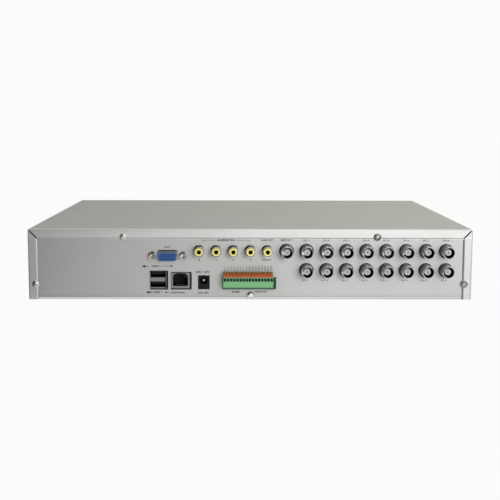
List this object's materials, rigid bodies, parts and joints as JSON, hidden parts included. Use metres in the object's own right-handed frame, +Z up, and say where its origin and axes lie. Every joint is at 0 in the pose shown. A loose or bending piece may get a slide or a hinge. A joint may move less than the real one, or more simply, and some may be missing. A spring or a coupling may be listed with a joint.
{
  "type": "video recorder",
  "caption": "Flat silver-grey desktop video recorder: folded steel case with a rear plate of coax, phono, monitor, network and power sockets, a pluggable terminal strip and keys in front.",
  "frame": {"origin": "middle of the overall box in plan, on the plane under the feet", "axes": "+Z up, the key front faces -Y, the socket plate faces +Y, +X to the right seen from the front"},
  "size_m": [0.36, 0.313, 0.0635],
  "materials": {
    "case_paint": "satin silver-grey coat",
    "panel_paint": "satin silver-grey coat",
    "bezel_plastic": "fine texture",
    "screw_steel": "zinc plated",
    "foot_rubber": "matt",
    "window_plastic": "smoked",
    "pipe_plastic": "clear",
    "black_plastic": "moulded",
    "circuit_board": "solder mask",
    "nickel": "bright nickel plate",
    "shell_steel": "tin plate",
    "insulator_white": "moulded",
    "contact_brass": "plated",
    "phono_yellow": "moulded",
    "monitor_blue": "moulded",
    "header_green": "moulded",
    "plug_green": "moulded",
    "lever_orange": "moulded",
    "sink_aluminium": "extruded",
    "drive_metal": "cast",
    "bracket_steel": "zinc plated",
    "cable_jacket": "extruded",
    "key_red": "moulded",
    "key_grey": "moulded"
  },
  "bodies": {
    "chassis": {"top_cover": "case_paint", "base_tray": "panel_paint", "rear_panel": "panel_paint", "front_bezel": "bezel_plastic", "case_screws": "screw_steel", "feet": "foot_rubber", "infrared_window": "window_plastic", "light_pipes": "pipe_plastic", "key_switches": "black_plastic", "front_board": "circuit_board", "coax_barrels": "nickel", "coax_housings": "black_plastic", "coax_insulators": "insulator_white", "coax_contacts": "contact_brass", "phono_housings": "black_plastic", "phono_collars": "nickel", "phono_inserts": "phono_yellow", "monitor_shell": "nickel", "monitor_insert": "monitor_blue", "jackscrews": "nickel", "stack_shell": "shell_steel", "stack_tongues": "black_plastic", "network_shield": "shell_steel", "network_insert": "black_plastic", "power_housing": "black_plastic", "power_pin": "nickel", "strip_header": "header_green", "strip_pins": "contact_brass", "main_board": "circuit_board", "upright_board": "circuit_board", "heat_sink": "sink_aluminium", "standoffs": "contact_brass", "inner_screws": "screw_steel", "hard_drive": "drive_metal", "drive_bracket": "bracket_steel", "inner_cables": "cable_jacket"},
    "terminal_plug": {"strip_plug": "plug_green", "plug_contacts": "contact_brass"},
    "key_power": {"key_power": "key_red"},
    "key_enter": {"key_enter": "key_grey"},
    "key_left": {"key_left": "key_grey"},
    "key_right": {"key_right": "key_grey"},
    "key_up": {"key_up": "key_grey"},
    "key_down": {"key_down": "key_grey"},
    "lever_1": {"lever_1": "lever_orange"},
    "lever_2": {"lever_2": "lever_orange"},
    "lever_3": {"lever_3": "lever_orange"},
    "lever_4": {"lever_4": "lever_orange"},
    "lever_5": {"lever_5": "lever_orange"},
    "lever_6": {"lever_6": "lever_orange"},
    "lever_7": {"lever_7": "lever_orange"},
    "lever_8": {"lever_8": "lever_orange"},
    "lever_9": {"lever_9": "lever_orange"},
    "lever_10": {"lever_10": "lever_orange"},
    "lever_11": {"lever_11": "lever_orange"},
    "lever_12": {"lever_12": "lever_orange"},
    "lever_13": {"lever_13": "lever_orange"},
    "lever_14": {"lever_14": "lever_orange"},
    "lever_15": {"lever_15": "lever_orange"},
    "lever_16": {"lever_16": "lever_orange"}
  },
  "joints": [
    {"name": "plug_pull", "type": "slide", "parent": "chassis", "child": "terminal_plug", "axis": [0, 1, 0], "range_m": [0, 0.015]},
    {"name": "lever_1_push", "type": "slide", "parent": "terminal_plug", "child": "lever_1", "axis": [0, -1, 0], "range_m": [0, 0.0015], "stiffness_N_per_m": 2000, "springref_m": -0.0005},
    {"name": "lever_2_push", "type": "slide", "parent": "terminal_plug", "child": "lever_2", "axis": [0, -1, 0], "range_m": [0, 0.0015], "stiffness_N_per_m": 2000, "springref_m": -0.0005},
    {"name": "lever_3_push", "type": "slide", "parent": "terminal_plug", "child": "lever_3", "axis": [0, -1, 0], "range_m": [0, 0.0015], "stiffness_N_per_m": 2000, "springref_m": -0.0005},
    {"name": "lever_4_push", "type": "slide", "parent": "terminal_plug", "child": "lever_4", "axis": [0, -1, 0], "range_m": [0, 0.0015], "stiffness_N_per_m": 2000, "springref_m": -0.0005},
    {"name": "lever_5_push", "type": "slide", "parent": "terminal_plug", "child": "lever_5", "axis": [0, -1, 0], "range_m": [0, 0.0015], "stiffness_N_per_m": 2000, "springref_m": -0.0005},
    {"name": "lever_6_push", "type": "slide", "parent": "terminal_plug", "child": "lever_6", "axis": [0, -1, 0], "range_m": [0, 0.0015], "stiffness_N_per_m": 2000, "springref_m": -0.0005},
    {"name": "lever_7_push", "type": "slide", "parent": "terminal_plug", "child": "lever_7", "axis": [0, -1, 0], "range_m": [0, 0.0015], "stiffness_N_per_m": 2000, "springref_m": -0.0005},
    {"name": "lever_8_push", "type": "slide", "parent": "terminal_plug", "child": "lever_8", "axis": [0, -1, 0], "range_m": [0, 0.0015], "stiffness_N_per_m": 2000, "springref_m": -0.0005},
    {"name": "lever_9_push", "type": "slide", "parent": "terminal_plug", "child": "lever_9", "axis": [0, -1, 0], "range_m": [0, 0.0015], "stiffness_N_per_m": 2000, "springref_m": -0.0005},
    {"name": "lever_10_push", "type": "slide", "parent": "terminal_plug", "child": "lever_10", "axis": [0, -1, 0], "range_m": [0, 0.0015], "stiffness_N_per_m": 2000, "springref_m": -0.0005},
    {"name": "lever_11_push", "type": "slide", "parent": "terminal_plug", "child": "lever_11", "axis": [0, -1, 0], "range_m": [0, 0.0015], "stiffness_N_per_m": 2000, "springref_m": -0.0005},
    {"name": "lever_12_push", "type": "slide", "parent": "terminal_plug", "child": "lever_12", "axis": [0, -1, 0], "range_m": [0, 0.0015], "stiffness_N_per_m": 2000, "springref_m": -0.0005},
    {"name": "lever_13_push", "type": "slide", "parent": "terminal_plug", "child": "lever_13", "axis": [0, -1, 0], "range_m": [0, 0.0015], "stiffness_N_per_m": 2000, "springref_m": -0.0005},
    {"name": "lever_14_push", "type": "slide", "parent": "terminal_plug", "child": "lever_14", "axis": [0, -1, 0], "range_m": [0, 0.0015], "stiffness_N_per_m": 2000, "springref_m": -0.0005},
    {"name": "lever_15_push", "type": "slide", "parent": "terminal_plug", "child": "lever_15", "axis": [0, -1, 0], "range_m": [0, 0.0015], "stiffness_N_per_m": 2000, "springref_m": -0.0005},
    {"name": "lever_16_push", "type": "slide", "parent": "terminal_plug", "child": "lever_16", "axis": [0, -1, 0], "range_m": [0, 0.0015], "stiffness_N_per_m": 2000, "springref_m": -0.0005},
    {"name": "key_power_press", "type": "slide", "parent": "chassis", "child": "key_power", "axis": [0, 1, 0], "range_m": [0, 0.0008], "stiffness_N_per_m": 800, "springref_m": -0.0005},
    {"name": "key_enter_press", "type": "slide", "parent": "chassis", "child": "key_enter", "axis": [0, 1, 0], "range_m": [0, 0.0008], "stiffness_N_per_m": 800, "springref_m": -0.0005},
    {"name": "key_left_press", "type": "slide", "parent": "chassis", "child": "key_left", "axis": [0, 1, 0], "range_m": [0, 0.0008], "stiffness_N_per_m": 800, "springref_m": -0.0005},
    {"name": "key_right_press", "type": "slide", "parent": "chassis", "child": "key_right", "axis": [0, 1, 0], "range_m": [0, 0.0008], "stiffness_N_per_m": 800, "springref_m": -0.0005},
    {"name": "key_up_press", "type": "slide", "parent": "chassis", "child": "key_up", "axis": [0, 1, 0], "range_m": [0, 0.0008], "stiffness_N_per_m": 800, "springref_m": -0.0005},
    {"name": "key_down_press", "type": "slide", "parent": "chassis", "child": "key_down", "axis": [0, 1, 0], "range_m": [0, 0.0008], "stiffness_N_per_m": 800, "springref_m": -0.0005}
  ]
}
